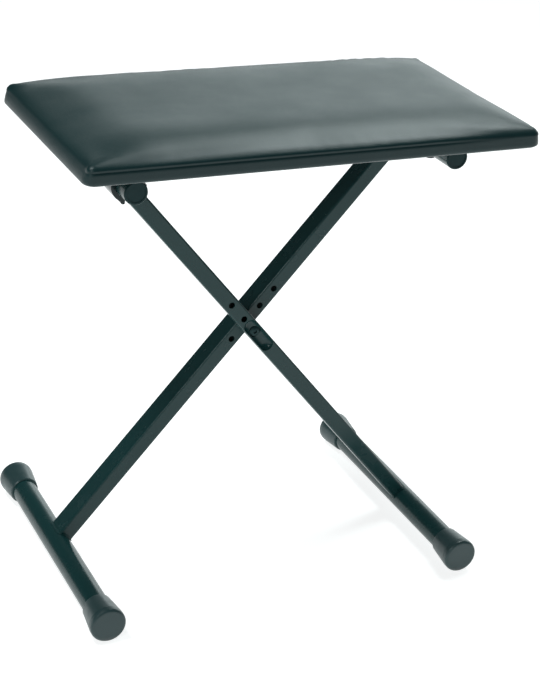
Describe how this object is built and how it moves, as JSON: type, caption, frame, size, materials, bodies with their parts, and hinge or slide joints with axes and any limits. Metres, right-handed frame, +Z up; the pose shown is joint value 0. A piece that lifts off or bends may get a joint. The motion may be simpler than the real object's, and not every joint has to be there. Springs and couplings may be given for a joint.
{
  "type": "folding piano bench",
  "caption": "Folding X-frame bench with a padded vinyl seat, crossing steel legs, a bolt pivot and rubber-capped foot tubes.",
  "frame": {"origin": "on the floor, under the middle of the seat's length and the middle of the foot tubes", "axes": "+X along the seat's length towards the hinged end, +Y from the front edge to the rear edge, +Z up"},
  "size_m": [0.443, 0.294, 0.4765],
  "materials": {
    "black_powder_coat": "satin black powder coat",
    "cap_rubber": "matte black moulded rubber",
    "plug_plastic": "matte black plastic",
    "black_bolt": "black oxide steel",
    "zinc_steel": "zinc plated",
    "nylon": "natural nylon",
    "plywood": "plain plywood",
    "foam": "open cell polyurethane foam",
    "black_vinyl": "smooth black vinyl with a soft sheen",
    "dust_cloth": "black non-woven cloth",
    "staple_wire": "galvanised wire",
    "clip_plastic": "glossy black nylon"
  },
  "bodies": {
    "rear_frame": {"rear_leg_tube": "black_powder_coat", "rear_leg_top_tube": "black_powder_coat", "rear_leg_foot_tube": "black_powder_coat", "rear_leg_welds": "black_powder_coat", "foot_cap_left_front": "cap_rubber", "foot_cap_left_rear": "cap_rubber", "tube_plug_right_front": "plug_plastic", "tube_plug_right_rear": "plug_plastic", "pivot_bolt": "black_bolt", "pivot_spacer": "nylon", "pivot_washer": "zinc_steel", "pivot_nut": "zinc_steel"},
    "front_frame": {"front_leg_tube": "black_powder_coat", "front_leg_top_tube": "black_powder_coat", "front_leg_foot_tube": "black_powder_coat", "front_leg_welds": "black_powder_coat", "foot_cap_right_front": "cap_rubber", "foot_cap_right_rear": "cap_rubber", "tube_plug_left_front": "plug_plastic", "tube_plug_left_rear": "plug_plastic"},
    "seat": {"seat_board": "plywood", "seat_foam": "foam", "seat_cover": "black_vinyl", "seat_bottom_cloth": "dust_cloth", "cover_staples": "staple_wire", "hinge_clamp_front": "clip_plastic", "hinge_clamp_rear": "clip_plastic", "snap_clip_front": "clip_plastic", "snap_clip_rear": "clip_plastic", "bracket_screws": "black_bolt", "tee_nuts": "zinc_steel"}
  },
  "joints": [
    {"name": "leg_fold", "type": "hinge", "parent": "rear_frame", "child": "front_frame", "pos_m": [-0.0025, 0, 0.23827], "axis": [0, -1, 0], "range_deg": [0, 94], "deforming": ["snap_clip_front", "snap_clip_rear"]},
    {"name": "seat_fold", "type": "hinge", "parent": "rear_frame", "child": "seat", "pos_m": [0.1595, 0.013, 0.4275], "axis": [0, -1, 0], "range_deg": [0, 47]}
  ],
  "couplings": [
    {"joint": "seat_fold", "follows": "leg_fold", "ratio": 0.5}
  ]
}
